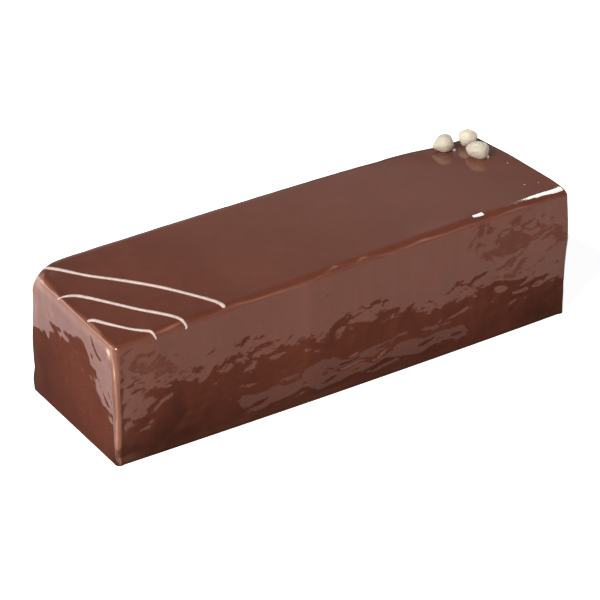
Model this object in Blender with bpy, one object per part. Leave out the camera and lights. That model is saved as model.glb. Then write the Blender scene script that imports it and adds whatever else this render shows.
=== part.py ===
"""Ice cream loaf cake with a poured cocoa glaze, three threads of white icing and three blanched hazelnuts.

Metres, +Z up. The origin is the middle of the underside, X runs along the loaf and Y across it.
The loaf is shaped from a straight blank: a block with rounded upper edges, which then settles.
Places on the skin of the blank are given as (along, across), measured over its rounded edges
from the middle of the top, so that an across of more than half the width lies down a long side.
"""
import math

import bmesh
import bpy
import numpy as np
from mathutils import Euler, Vector

MM = 0.001

# The straight blank
LENGTH = 280 * MM
WIDTH = 87.4 * MM
HEIGHT = 72 * MM
EDGE_RADIUS = 4.5 * MM
EDGE_SEGMENTS = 4
GRID_STEP = 9 * MM

# How the block settles: the height left at each corner, the crown along the top, the swelling
# of the long sides at the foot, the squareness of the upright edges at the foot (0 is round),
# and the waves that the knife and the glaze leave in the sides
CORNER_HEIGHTS = {(-1, -1): 68.5 * MM, (-1, 1): 72.1 * MM, (1, -1): 75.9 * MM, (1, 1): 72.9 * MM}
CROWN = 1.5 * MM
FOOT_SWELL = 1.4 * MM
FOOT_SQUARENESS = 1.6
WAVE_DEPTH = 0.25 * MM
WAVE_LENGTH = 62 * MM
WAVE_HEIGHT = 48 * MM

# Where the upper edges have drooped: (along, across) as shares of the half sizes, how far the glaze
# there has drawn in along X, Y and Z, and how wide the droop reaches, in millimetres
DROOPS = [
    {"at": (-1, -1), "pull": (0.2, 0.2, -0.2), "reach": 10},
    {"at": (-1, 1), "pull": (2.4, -2.4, -2.4), "reach": 10},
    {"at": (1, -1), "pull": (-0.6, 0.6, -0.6), "reach": 10},
    {"at": (1, 1), "pull": (-0.6, -0.6, -0.6), "reach": 10},
    {"at": (0.84, 1), "pull": (0, -1.0, -1.3), "reach": 18},
    {"at": (1, 0.66), "pull": (-0.2, 0, -0.7), "reach": 14},
]

# Icing threads: points as (along, across, width) in millimetres
THREADS = {
    "long_thread": [
        (-134.4, 37.7, 1.3), (-129.6, 34.9, 1.7), (-122.2, 23.0, 1.6), (-109.7, 9.6, 1.6),
        (-99.1, -4.1, 1.7), (-87.0, -20.9, 1.6), (-78.0, -35.2, 1.7), (-75.9, -41.4, 2.2),
    ],
    "middle_thread": [
        (-140.2, 11.7, 1.0), (-137.8, 9.7, 1.4), (-133.4, 8.1, 1.7), (-122.3, -6.0, 1.6),
        (-110.6, -23.4, 1.6), (-101.4, -35.9, 1.7), (-99.8, -41.4, 1.5), (-99.4, -45.5, 0.8),
    ],
    "short_thread": [
        (-139.3, -16.9, 1.9), (-137.9, -15.3, 2.1), (-135.7, -16.2, 2.0), (-132.7, -21.0, 1.6),
        (-126.0, -31.7, 1.2), (-121.7, -36.9, 1.5), (-117.8, -39.8, 1.6), (-116.7, -42.6, 1.4), (-116.6, -46.1, 0.8),
    ],
}
THREAD_STEP = 2.5 * MM
THREAD_ROUNDNESS = 2

# Hazelnuts: place of the middle, length from tip to base, breadth, how far the tip is drawn out,
# the tip's bearing and droop, and how deep the nut is set in the glaze. The part below the glaze
# is cut off flat, so that nut and loaf stay apart by the gap
HAZELNUTS = {
    "hazelnut_left": {
        "place": (112.4 * MM, 33.8 * MM), "length": 11.8 * MM, "breadth": 9.7 * MM,
        "tip": 0.42, "bearing": 165, "droop": 12, "roll": 0, "sunk": 1.2 * MM,
    },
    "hazelnut_rear": {
        "place": (127.9 * MM, 32.5 * MM), "length": 10.0 * MM, "breadth": 9.2 * MM,
        "tip": 0.16, "bearing": -38, "droop": -24, "roll": 40, "sunk": 1.1 * MM,
    },
    "hazelnut_front": {
        "place": (122.4 * MM, 16.7 * MM), "length": 13.0 * MM, "breadth": 9.8 * MM,
        "tip": 0.20, "bearing": 120, "droop": 4, "roll": 75, "sunk": 1.6 * MM,
    },
}
NUT_AROUND = 22
NUT_ALONG = 14
NUT_SQUARENESS = 0.82
NUT_NARROWING = 0.16
NUT_TIP_POWER = 4
NUT_GAP = 0.3 * MM
NUT_SEAT_REACH = 4 * MM

GLAZE = {"name": "cocoa_glaze", "colour": (0.162, 0.066, 0.046, 1), "roughness": 0.18}
KERNEL = {"name": "blanched_kernel", "colour": (0.76, 0.67, 0.53, 1), "roughness": 0.45}


def clear_scene():
    """Removes whatever the new file starts with."""
    for old in list(bpy.data.objects):
        bpy.data.objects.remove(old, do_unlink=True)


def make_material(finish):
    """A plain Principled material from a colour and a roughness."""
    material = bpy.data.materials.new(finish["name"])
    material.use_nodes = True
    shader = material.node_tree.nodes["Principled BSDF"]
    shader.inputs["Base Color"].default_value = finish["colour"]
    shader.inputs["Roughness"].default_value = finish["roughness"]
    shader.inputs["Metallic"].default_value = 0
    return material


def add_object(name, mesh):
    """Links a new object for a mesh."""
    new_object = bpy.data.objects.new(name, mesh)
    bpy.context.collection.objects.link(new_object)
    return new_object


def settled_height(x, y):
    """Height of the top over a place on the plan: the four corner heights blended, plus the crown."""
    u = x / (LENGTH / 2)
    v = y / (WIDTH / 2)
    blend = sum(
        high * (1 + side_x * u) * (1 + side_y * v) / 4
        for (side_x, side_y), high in CORNER_HEIGHTS.items()
    )
    return blend + CROWN * (1 - u * u)


def square_corner(x, y, w):
    """Squares the rounded upright edges towards the foot: their arc becomes a superellipse."""
    across_x = abs(x) - (LENGTH / 2 - EDGE_RADIUS)
    across_y = abs(y) - (WIDTH / 2 - EDGE_RADIUS)
    if min(across_x, across_y) <= 0:
        return x, y
    reach = math.hypot(across_x, across_y)
    power = 2 + FOOT_SQUARENESS * (1 - w)
    push = ((across_x / reach) ** power + (across_y / reach) ** power) ** (-1 / power) - 1
    return x + math.copysign(across_x * push, x), y + math.copysign(across_y * push, y)


def droop_of(point):
    """How the glaze draws in and down round each drooped place of the upper edges, fading with distance."""
    droop = Vector((0, 0, 0))
    for place in DROOPS:
        along, across = place["at"]
        away = (point - Vector((along * LENGTH / 2, across * WIDTH / 2, HEIGHT))).length
        droop += Vector(place["pull"]) * MM * math.exp(-((away / (place["reach"] * MM)) ** 2))
    return droop


def settle(point):
    """Where a point of the straight blank ends up on the settled loaf."""
    x, y, z = point + droop_of(point)
    x, y = square_corner(x, y, z / HEIGHT)
    u = x / (LENGTH / 2)
    v = y / (WIDTH / 2)
    w = z / HEIGHT
    swell = FOOT_SWELL * (1 - u * u) * (1 - w)
    arch = math.sin(math.pi * w)
    side_wave = WAVE_DEPTH * arch * math.sin(math.tau * (x / WAVE_LENGTH + z / WAVE_HEIGHT))
    end_wave = WAVE_DEPTH * arch * math.sin(math.tau * (y / WAVE_LENGTH + z / WAVE_HEIGHT))
    return Vector((x + u * u * u * end_wave, y + v * swell + v * v * v * side_wave, w * settled_height(x, y)))


def over_edge(distance, half_size):
    """Follows one direction of the skin: the reach of the flat core, the turn of the edge and the drop."""
    core = half_size - EDGE_RADIUS
    beyond = abs(distance) - core
    turn = min(max(beyond / EDGE_RADIUS, 0), math.pi / 2)
    drop = max(beyond - EDGE_RADIUS * math.pi / 2, 0)
    return math.copysign(min(abs(distance), core), distance), math.copysign(turn, distance), drop


def skin(along, across):
    """The point of the blank that lies along and across its skin from the middle of the top."""
    core_x, turn_x, drop_x = over_edge(along, LENGTH / 2)
    core_y, turn_y, drop_y = over_edge(across, WIDTH / 2)
    normal = Vector((
        math.sin(turn_x) * math.cos(turn_y),
        math.sin(turn_y) * math.cos(turn_x),
        math.cos(turn_x) * math.cos(turn_y),
    )).normalized()
    return Vector((core_x, core_y, HEIGHT - EDGE_RADIUS - drop_x - drop_y)) + EDGE_RADIUS * normal


def slice_grid(blank, size, axis, start):
    """Cuts a mesh across one axis into strips no wider than the grid step."""
    cuts = math.ceil(size / GRID_STEP)
    normal = Vector((0, 0, 0))
    normal[axis] = 1
    for cut in range(1, cuts):
        bmesh.ops.bisect_plane(
            blank,
            geom=blank.verts[:] + blank.edges[:] + blank.faces[:],
            plane_co=normal * (start + size * cut / cuts),
            plane_no=normal,
        )


def make_loaf_mesh():
    """The block with its upright and upper edges rounded, sliced into a grid and settled."""
    blank = bmesh.new()
    bmesh.ops.create_cube(blank, size=1)
    for vert in blank.verts:
        vert.co = Vector((vert.co.x * LENGTH, vert.co.y * WIDTH, (vert.co.z + 0.5) * HEIGHT))
    rounded = [edge for edge in blank.edges if max(vert.co.z for vert in edge.verts) > HEIGHT / 2]
    bmesh.ops.bevel(
        blank, geom=rounded, offset=EDGE_RADIUS, segments=EDGE_SEGMENTS, profile=0.5, affect="EDGES"
    )
    slice_grid(blank, LENGTH, 0, -LENGTH / 2)
    slice_grid(blank, WIDTH, 1, -WIDTH / 2)
    slice_grid(blank, HEIGHT, 2, 0)
    for vert in blank.verts:
        vert.co = settle(vert.co)
    bmesh.ops.triangulate(blank, faces=blank.faces[:])
    bmesh.ops.recalc_face_normals(blank, faces=blank.faces[:])
    mesh = bpy.data.meshes.new("glazed_loaf")
    blank.to_mesh(mesh)
    blank.free()
    return mesh


def smooth_route(points, step):
    """Points about a step apart on the smooth curve through the given ones, by cubic Hermite spans."""
    knots = np.array(points) * MM
    slopes = np.gradient(knots, axis=0)
    route = []
    for here, there, leave, arrive in zip(knots[:-1], knots[1:], slopes[:-1], slopes[1:]):
        count = max(2, round(float(np.linalg.norm(there[:2] - here[:2])) / step))
        for t in np.arange(count) / count:
            route.append(
                (2 * t**3 - 3 * t**2 + 1) * here
                + (t**3 - 2 * t**2 + t) * leave
                + (3 * t**2 - 2 * t**3) * there
                + (t**3 - t**2) * arrive
            )
    route.append(knots[-1])
    return route


def make_thread(name, points):
    """A round thread of icing, half sunk in the skin, as a mesh object."""
    route = smooth_route(points, THREAD_STEP)
    curve = bpy.data.curves.new(name, "CURVE")
    curve.dimensions = "3D"
    curve.bevel_depth = MM
    curve.bevel_resolution = THREAD_ROUNDNESS
    curve.use_fill_caps = True
    spline = curve.splines.new("POLY")
    spline.points.add(len(route) - 1)
    for spot, (along, across, width) in zip(spline.points, route):
        spot.co = (*settle(skin(along, across)), 1)
        spot.radius = width / 2 / MM
    guide = add_object(name + "_route", curve)
    bpy.context.view_layer.update()
    mesh = bpy.data.meshes.new_from_object(guide.evaluated_get(bpy.context.evaluated_depsgraph_get()))
    bpy.data.objects.remove(guide, do_unlink=True)
    return add_object(name, mesh)


def fuse_threads(loaf):
    """Joins the icing threads to the loaf with one union and removes what it was made from."""
    group = bpy.data.collections.new("icing_threads")
    bpy.context.scene.collection.children.link(group)
    for name, points in THREADS.items():
        thread = make_thread(name, points)
        bpy.context.collection.objects.unlink(thread)
        group.objects.link(thread)
    union = loaf.modifiers.new("fuse", "BOOLEAN")
    union.operation = "UNION"
    union.operand_type = "COLLECTION"
    union.collection = group
    union.solver = "EXACT"
    bpy.context.view_layer.update()
    fused = bpy.data.meshes.new_from_object(loaf.evaluated_get(bpy.context.evaluated_depsgraph_get()))
    loaf.modifiers.clear()
    loaf.data = fused
    for thread in list(group.objects):
        bpy.data.objects.remove(thread, do_unlink=True)
    bpy.data.collections.remove(group)


def kernel_shape(direction, nut):
    """A blanched hazelnut from a unit sphere: its +X end is drawn out to a tip and its base is squarer."""
    x, y, z = direction
    power = NUT_SQUARENESS if x < 0 else 1
    ring = math.hypot(y, z)
    spread = ring**power / ring if ring else 0
    drawn = max(x, 0) ** NUT_TIP_POWER
    thick = spread * (1 - NUT_NARROWING * max(x, 0) ** 2 - nut["tip"] * drawn / 2)
    reach = math.copysign(abs(x) ** power, x) + nut["tip"] * drawn
    half_length = nut["length"] / (2 + nut["tip"])
    return Vector((reach * half_length, y * thick * nut["breadth"] / 2, z * thick * nut["breadth"] / 2))


def seat_normal(x, y):
    """The upward direction of the settled top round a place on the plan."""
    along = settle(Vector((x + NUT_SEAT_REACH, y, HEIGHT))) - settle(Vector((x - NUT_SEAT_REACH, y, HEIGHT)))
    across = settle(Vector((x, y + NUT_SEAT_REACH, HEIGHT))) - settle(Vector((x, y - NUT_SEAT_REACH, HEIGHT)))
    return along.cross(across).normalized()


def make_hazelnut(name, nut):
    """A hazelnut set in the glaze and cut off flat a hair above it."""
    kernel = bmesh.new()
    bmesh.ops.create_uvsphere(kernel, u_segments=NUT_AROUND, v_segments=NUT_ALONG, radius=1)
    pole_to_tip = Euler((0, math.pi / 2, 0)).to_matrix()
    turned = Euler((math.radians(nut["roll"]), math.radians(nut["droop"]), math.radians(nut["bearing"])))
    for vert in kernel.verts:
        vert.co = turned.to_matrix() @ kernel_shape((pole_to_tip @ vert.co).normalized(), nut)
    x, y = nut["place"]
    seat = Vector((x, y, settle(Vector((x, y, HEIGHT))).z))
    lowest = min(vert.co.z for vert in kernel.verts)
    bmesh.ops.translate(kernel, verts=kernel.verts[:], vec=seat - Vector((0, 0, lowest + nut["sunk"])))
    upward = seat_normal(x, y)
    cut = bmesh.ops.bisect_plane(
        kernel,
        geom=kernel.verts[:] + kernel.edges[:] + kernel.faces[:],
        plane_co=seat + upward * NUT_GAP,
        plane_no=upward,
        clear_inner=True,
    )
    rim = [piece for piece in cut["geom_cut"] if isinstance(piece, bmesh.types.BMEdge)]
    bmesh.ops.edgeloop_fill(kernel, edges=rim)
    bmesh.ops.triangulate(kernel, faces=kernel.faces[:])
    bmesh.ops.recalc_face_normals(kernel, faces=kernel.faces[:])
    mesh = bpy.data.meshes.new(name)
    kernel.to_mesh(mesh)
    kernel.free()
    return add_object(name, mesh)


def finish_object(made, material):
    """Gives an object its material and smooth shading."""
    made.data.materials.clear()
    made.data.materials.append(material)
    made.data.shade_smooth()


def main():
    clear_scene()
    loaf = add_object("glazed_loaf", make_loaf_mesh())
    fuse_threads(loaf)
    finish_object(loaf, make_material(GLAZE))
    kernel_material = make_material(KERNEL)
    for name, nut in HAZELNUTS.items():
        finish_object(make_hazelnut(name, nut), kernel_material)


main()
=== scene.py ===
import bpy
import numpy as np
from mathutils import Euler, Matrix, Vector


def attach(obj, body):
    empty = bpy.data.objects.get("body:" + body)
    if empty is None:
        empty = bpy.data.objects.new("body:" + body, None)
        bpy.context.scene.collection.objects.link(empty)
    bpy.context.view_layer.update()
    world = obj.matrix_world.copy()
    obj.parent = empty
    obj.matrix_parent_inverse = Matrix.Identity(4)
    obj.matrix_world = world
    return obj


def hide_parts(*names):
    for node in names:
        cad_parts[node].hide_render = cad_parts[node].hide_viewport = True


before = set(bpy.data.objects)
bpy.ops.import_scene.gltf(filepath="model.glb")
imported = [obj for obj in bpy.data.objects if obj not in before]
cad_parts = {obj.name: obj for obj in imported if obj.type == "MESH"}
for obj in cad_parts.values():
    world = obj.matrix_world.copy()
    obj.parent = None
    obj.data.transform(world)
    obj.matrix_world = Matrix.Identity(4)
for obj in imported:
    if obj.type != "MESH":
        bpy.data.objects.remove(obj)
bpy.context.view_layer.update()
mm = 0.001    # shapes are worked out in millimetres and put into the meshes in metres
hair = 1e-6   # less than any size here, and more than rounding errors
print("Frame loaded with", len(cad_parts), "solids")


def addObject(name, data):
    thing = bpy.data.objects.new(name, data)
    bpy.context.scene.collection.objects.link(thing)
    return thing


# Camera, set where the photograph's was

cameraSetup = {
    "place": (-0.7062, -1.0423, 0.7757),
    "right": (0.8335, -0.5524, 0.0138),
    "up": (0.2716, 0.4314, 0.8603),
    "back": (-0.4812, -0.7133, 0.5096),
    "lens": 167.2,
    "sensorWidth": 36,
    "seesAsFarAs": 50,
}


def addCamera(setup):
    # The three directions are the columns of the camera's rotation
    cameraData = bpy.data.cameras.new("productCamera")
    cameraData.lens = setup["lens"]
    cameraData.sensor_width = setup["sensorWidth"]
    cameraData.clip_end = setup["seesAsFarAs"]
    camera = addObject("productCamera", cameraData)
    turn = Matrix((setup["right"], setup["up"], setup["back"])).transposed()
    camera.matrix_world = Matrix.LocRotScale(Vector(setup["place"]), turn.to_quaternion(), None)
    bpy.context.scene.camera = camera


addCamera(cameraSetup)
print("Camera placed")


# Surfaces

noiseCells = 97      # the noise repeats after this many cells
patternStart = 50    # the cell where the patterns of the glaze start


def unit(vectors):
    # Each vector divided by its own length
    return vectors / np.linalg.norm(vectors, axis=-1, keepdims=True)


def bell(distance, reach):
    # One at no distance, falling as e to the minus square of distance over reach
    return np.exp(-((distance / reach) ** 2))


def bellsAt(points, rows):
    # For each row of x, y, z, reach and height, the height times a bell of the distance, all added up
    return sum(
        height * bell(np.linalg.norm(points - (x, y, z), axis=1), reach) for x, y, z, reach, height in rows)


def between(place, marks):
    # A mark's first number is its place, and the others are read in straight lines between the marks
    places, *columns = np.array(marks, float).T
    return [np.interp(place, places, column) for column in columns]


def rippleNoise(u, v, seed):
    # Gradient noise: a random direction at every whole (u, v), dotted with the offset from it, and the four
    # answers round a point blended by 6t^5 - 15t^4 + 10t^3. It runs from about -0.7 to 0.7
    turns = np.random.default_rng(seed).uniform(0, 2 * np.pi, (noiseCells, noiseCells))
    column, row = np.floor(u).astype(int), np.floor(v).astype(int)
    offsetU, offsetV = u - column, v - row
    fadeU, fadeV = (t ** 3 * (t * (6 * t - 15) + 10) for t in (offsetU, offsetV))

    def pull(stepU, stepV):
        turn = turns[(column + stepU) % noiseCells, (row + stepV) % noiseCells]
        return np.cos(turn) * (offsetU - stepU) + np.sin(turn) * (offsetV - stepV)

    low = pull(0, 0) * (1 - fadeU) + pull(1, 0) * fadeU
    high = pull(0, 1) * (1 - fadeU) + pull(1, 1) * fadeU
    return low * (1 - fadeV) + high * fadeV


def pattern(along, up, wide, tall, seed):
    # Noise whose waves are so many millimetres wide and tall
    return rippleNoise(along / wide + patternStart, up / tall + patternStart, seed)


def gridQuads(numbers):
    # The quads between neighbouring entries of a grid of point numbers
    corners = (numbers[:-1, :-1], numbers[1:, :-1], numbers[1:, 1:], numbers[:-1, 1:])
    return np.stack(corners, -1).reshape(-1, 4)


def ringFaces(ringCount, around):
    # Points numbered ring by ring, then a pole for the first ring and one for the last: the quads between
    # the rings, and the triangles that join each end ring to its pole
    numbers = np.pad(np.arange(ringCount * around).reshape(ringCount, around), ((0, 0), (0, 1)), "wrap")
    first, last, pole = numbers[0], numbers[-1], np.full(around, ringCount * around)
    firstCap = np.stack([pole, first[:-1], first[1:]], -1)
    lastCap = np.stack([pole + 1, last[1:], last[:-1]], -1)
    return gridQuads(numbers), np.concatenate([firstCap, lastCap])


def addPiece(name, points, quads, material, others=()):
    # Puts points in millimetres and their faces into a new smooth-shaded object that rides on the cake
    mesh = bpy.data.meshes.new(name)
    mesh.from_pydata((points * mm).tolist(), [], quads.tolist() + list(others))
    mesh.materials.append(material)
    mesh.shade_smooth()
    mesh.validate()
    piece = addObject(name, mesh)
    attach(piece, "root")
    return piece


def paint(piece, name, values):
    # Stores one number a point for the material to read
    attribute = piece.data.attributes.new(name, "FLOAT", "POINT")
    attribute.data.foreach_set("value", values.astype(np.float32))


# Material nodes

def newMaterial(name):
    material = bpy.data.materials.new(name)
    material.use_nodes = True
    return material, material.node_tree, material.node_tree.nodes["Principled BSDF"]


def setSockets(node, values):
    # An output is linked to its socket, and any other value is set on the socket itself
    for socket, value in values.items():
        if isinstance(value, bpy.types.NodeSocket):
            node.id_data.links.new(value, node.inputs[socket])
        else:
            node.inputs[socket].default_value = value


def objectPlace(tree):
    return tree.nodes.new("ShaderNodeTexCoord").outputs["Object"]


def painted(tree, name):
    # A number that paint stored
    node = tree.nodes.new("ShaderNodeAttribute")
    node.attribute_name = name
    return node.outputs["Fac"]


def noiseAt(tree, place, scale, detail):
    node = tree.nodes.new("ShaderNodeTexNoise")
    setSockets(node, {"Vector": place, "Scale": scale, "Detail": detail})
    return node.outputs["Fac"]


def spread(tree, value, start, end, low=0, high=1):
    # A straight line from low at the start to high at the end, and level beyond both
    node = tree.nodes.new("ShaderNodeMapRange")
    setSockets(node, {"Value": value, "From Min": start, "From Max": end, "To Min": low, "To Max": high})
    return node.outputs["Result"]


def mixed(tree, share, first, second, blend="MIX"):
    # The kind of mix is chosen first, because it decides which sockets the names mean
    node = tree.nodes.new("ShaderNodeMix")
    node.data_type = "RGBA"
    node.blend_type = blend
    setSockets(node, {"Factor": share, "A": first, "B": second})
    return node.outputs["Result"]


def scaled(tree, colour, share):
    node = tree.nodes.new("ShaderNodeVectorMath")
    node.operation = "SCALE"
    setSockets(node, {0: colour, "Scale": share})
    return node.outputs["Vector"]


def rampOf(tree, value, marks):
    # A colour read between marks of place and colour
    ramp = tree.nodes.new("ShaderNodeValToRGB")
    elements = ramp.color_ramp.elements
    while len(elements) < len(marks):
        elements.new(0.5)
    for element, (place, colour) in zip(elements, marks):
        element.position = place
        element.color = colour
    setSockets(ramp, {"Fac": value})
    return ramp.outputs["Color"]


def bumped(tree, height, strength, depth, under=None):
    # A bump as deep as this in metres, on top of the one under it
    node = tree.nodes.new("ShaderNodeBump")
    setSockets(node, {"Height": height, "Strength": strength, "Distance": depth})
    if under is not None:
        setSockets(node, {"Normal": under})
    return node.outputs["Normal"]


# The settled loaf: a straight block with rounded upper and upright edges, then the same droops, swelling,
# waves and corner heights as the solid has

loaf = {
    "length": 280.0, "width": 87.4, "height": 72.0,
    "edgeRadius": 4.5, "edgeSteps": 8,
    "gridSteps": (1.0, 1.15, 0.8),   # along X, Y and Z
    "sharpAngle": 60,                # degrees from which the underside's rim is shaded sharp
    # the upper edges are ellipses: place along the edge, and half axes across and down
    "longEdge": (
        (-140, 5, 3), (50, 5.2, 2.8), (64, 5.7, 2.8), (76, 7, 2.8), (87, 7, 2.8), (98, 6.1, 2.8),
        (136, 7, 2.6)),
    "leftEdge": ((-44, 3, 3), (8, 3, 3), (28, 6, 3.6), (44, 6.8, 4)),
    "rightEdge": ((-44, 2.2, 2.5), (44, 2.2, 2.5)),
    "edgeFade": (12, 22),        # the points beside them shift along within this far across and down
    "edgeFacing": 0.3,               # the shift across is whole where the skin faces up more than this
    # a low swelling along the near shoulder: place along and height, its line across and up, and its reach
    "shoulder": ((30, 0), (77.2, 0.34), (85.4, 0)),
    "shoulderLine": (-39.2, 72, 4.2),
    # swellings and dents of the outline: x, y, z, reach, height
    "bulges": (
        (-140, 44, 64, 6, 1.00), (-140, 44, 56.5, 2.4, -0.95), (-140, 44, 6, 4.5, 0.80),
        (-140, 44, 14, 3.5, -0.35), (140, 44, 52, 8, 0.30), (140, -44, 44, 9, 0.25)),
    "cornerHeights": (((-1, -1), 68.5), ((-1, 1), 72.1), ((1, -1), 75.9), ((1, 1), 72.9)),
    "crown": 1.5,
    "footSwell": 1.4, "footSquareness": 1.6,
    "waveDepth": 0.25, "waveLength": 62, "waveHeight": 48,
    # where (shares of the half sizes), how far the glaze draws in along X, Y and Z, and how wide
    "droops": (
        ((-1, -1), (0.2, 0.2, -0.2), 10),
        ((-1, 1), (2.4, -2.4, -2.4), 10),
        ((1, -1), (-0.6, 0.6, -0.6), 10),
        ((1, 1), (-0.6, -0.6, -0.6), 10),
        ((0.84, 1), (0, -1, -1.3), 18),
        ((1, 0.66), (-0.2, 0, -0.7), 14),
    ),
}


def settledHeight(x, y):
    # Each corner's height times its share of the plan, plus the crown times one less the square of u
    u, v = x / (loaf["length"] / 2), y / (loaf["width"] / 2)
    blend = sum(
        high * (1 + sideX * u) * (1 + sideY * v) / 4 for (sideX, sideY), high in loaf["cornerHeights"])
    return blend + loaf["crown"] * (1 - u * u)


def settle(points):
    # Droops: each pull times a bell of the distance to its place. Upright edges: the arc becomes a
    # superellipse that is squarer towards the foot. Sides: a swelling at the foot and a slow wave. Height:
    # scaled to the top
    halfLength, halfWidth, high = loaf["length"] / 2, loaf["width"] / 2, loaf["height"]
    moved = points.copy()
    for (along, across), pull, reach in loaf["droops"]:
        away = np.linalg.norm(points - (along * halfLength, across * halfWidth, high), axis=-1)
        moved += bell(away, reach)[..., None] * np.array(pull)
    x, y, z = np.moveaxis(moved, -1, 0)
    w = z / high
    acrossX = np.abs(x) - (halfLength - loaf["edgeRadius"])
    acrossY = np.abs(y) - (halfWidth - loaf["edgeRadius"])
    inCorner = np.minimum(acrossX, acrossY) > hair
    cornerX, cornerY = np.where(inCorner, acrossX, 1.0), np.where(inCorner, acrossY, 0.0)
    reach = np.hypot(cornerX, cornerY)
    power = 2 + loaf["footSquareness"] * (1 - w)
    push = ((cornerX / reach) ** power + (cornerY / reach) ** power) ** (-1 / power) - 1
    x = x + np.sign(x) * cornerX * push * inCorner
    y = y + np.sign(y) * cornerY * push * inCorner
    u, v = x / halfLength, y / halfWidth
    swell = loaf["footSwell"] * (1 - u * u) * (1 - w)
    arch = loaf["waveDepth"] * np.sin(np.pi * w)
    sideWave = arch * np.sin(2 * np.pi * (x / loaf["waveLength"] + z / loaf["waveHeight"]))
    endWave = arch * np.sin(2 * np.pi * (y / loaf["waveLength"] + z / loaf["waveHeight"]))
    return np.stack([x + u ** 3 * endWave, y + v * swell + v ** 3 * sideWave, w * settledHeight(x, y)], -1)


def skinPoint(along, across):
    # Unrolled skin of the block: each direction runs over the flat core, round the edge by distance over
    # radius, and then straight down. Gives the point and its outward direction
    radius = loaf["edgeRadius"]

    def overEdge(distance, halfSize):
        core = halfSize - radius
        beyond = np.abs(distance) - core
        turn = np.clip(beyond / radius, 0, np.pi / 2) * np.sign(distance)
        return np.clip(distance, -core, core), turn, np.maximum(beyond - radius * np.pi / 2, 0)

    coreX, turnX, dropX = overEdge(along, loaf["length"] / 2)
    coreY, turnY, dropY = overEdge(across, loaf["width"] / 2)
    outward = unit(np.stack([
        np.sin(turnX) * np.cos(turnY), np.sin(turnY) * np.cos(turnX), np.cos(turnX) * np.cos(turnY)], -1))
    core = np.stack([coreX, coreY, loaf["height"] - radius - dropX - dropY], -1)
    return core + radius * outward, outward


# Glaze material

glazeLook = {
    "cocoa": (0.105, 0.0285, 0.0165, 1),
    # dark cocoa both for pooled glaze and for painted shade
    "pooledAndShaded": (0.050, 0.0150, 0.0095, 1),
    # warm thin glaze and bare nougat, both also painting highlight lines and glints on the edges
    "thinAndHighlight": (0.235, 0.104, 0.064, 1),
    "bareAndGlint": (0.58, 0.475, 0.345, 1),
    "bareFrom": 0.5,               # thinness at which the warm colour is whole, and the nougat colour, which also paints highlights and glints, starts to show
    "ior": 1.62,
    "specularTint": (1, 0.60, 0.50, 1),
    "roughness": 0.042,
    "span": (0.3, 0.7),            # the part of each noise that is used
    # noises: repeats a metre and octaves, then what they do
    "cloud": (38, 3), "cloudShades": (0.93, 1.07),
    "runs": (170, 2), "runShades": (0.955, 1.045), "runStretch": (1, 1, 0.22),
    "dulling": (90, 4), "dullShares": (0.7, 1.5),
    "grain": (260, 2), "grainStrength": 0.06, "grainDepth": 0.00008,
    "brushing": (360, 1.5), "brushDepth": 0.00010,
}


def makeGlaze(look):
    material, tree, shader = newMaterial("cocoaGlaze")
    place = objectPlace(tree)

    # Slow cloudiness of the cocoa, and upright runs that are a little lighter and darker
    shades = [tuple(share * c for c in look["cocoa"][:3]) + (1,) for share in look["cloudShades"]]
    clouded = rampOf(tree, noiseAt(tree, place, *look["cloud"]), list(zip(look["span"], shades)))
    stretch = tree.nodes.new("ShaderNodeMapping")
    setSockets(stretch, {"Vector": place, "Scale": look["runStretch"]})
    runs = noiseAt(tree, stretch.outputs["Vector"], *look["runs"])
    streaked = scaled(tree, clouded, spread(tree, runs, *look["span"], *look["runShades"]))

    # Darker where it pooled and where shade is painted, warmed by the nougat where it is thin, and bare
    # nougat at the sharpest edge; the warm and nougat colours also paint highlights
    pooledAndShaded = mixed(tree, painted(tree, "poolingAndShade"), streaked, look["pooledAndShaded"])
    thinnessAndHighlight = painted(tree, "thinnessAndHighlight")
    warmAndHighlight = mixed(tree, spread(tree, thinnessAndHighlight, 0, look["bareFrom"]), pooledAndShaded, look["thinAndHighlight"])
    bareAndGlint = mixed(tree, spread(tree, thinnessAndHighlight, look["bareFrom"], 1), warmAndHighlight, look["bareAndGlint"])

    # Gloss that dulls a little in patches, over fine unevenness and the brushed unevenness of the walls
    dulling = noiseAt(tree, place, *look["dulling"])
    smoothest, dullest = (share * look["roughness"] for share in look["dullShares"])
    grain = bumped(tree, noiseAt(tree, place, *look["grain"]), look["grainStrength"], look["grainDepth"])
    brushed = bumped(
        tree, noiseAt(tree, place, *look["brushing"]), painted(tree, "wall"), look["brushDepth"], grain)
    setSockets(shader, {
        "Base Color": bareAndGlint,
        "Roughness": spread(tree, dulling, *look["span"], smoothest, dullest),
        "IOR": look["ior"],
        "Specular Tint": look["specularTint"],
        "Normal": brushed,
    })
    return material


# Glazed loaf: the outer points of a lattice, rounded, rippled and settled

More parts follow.
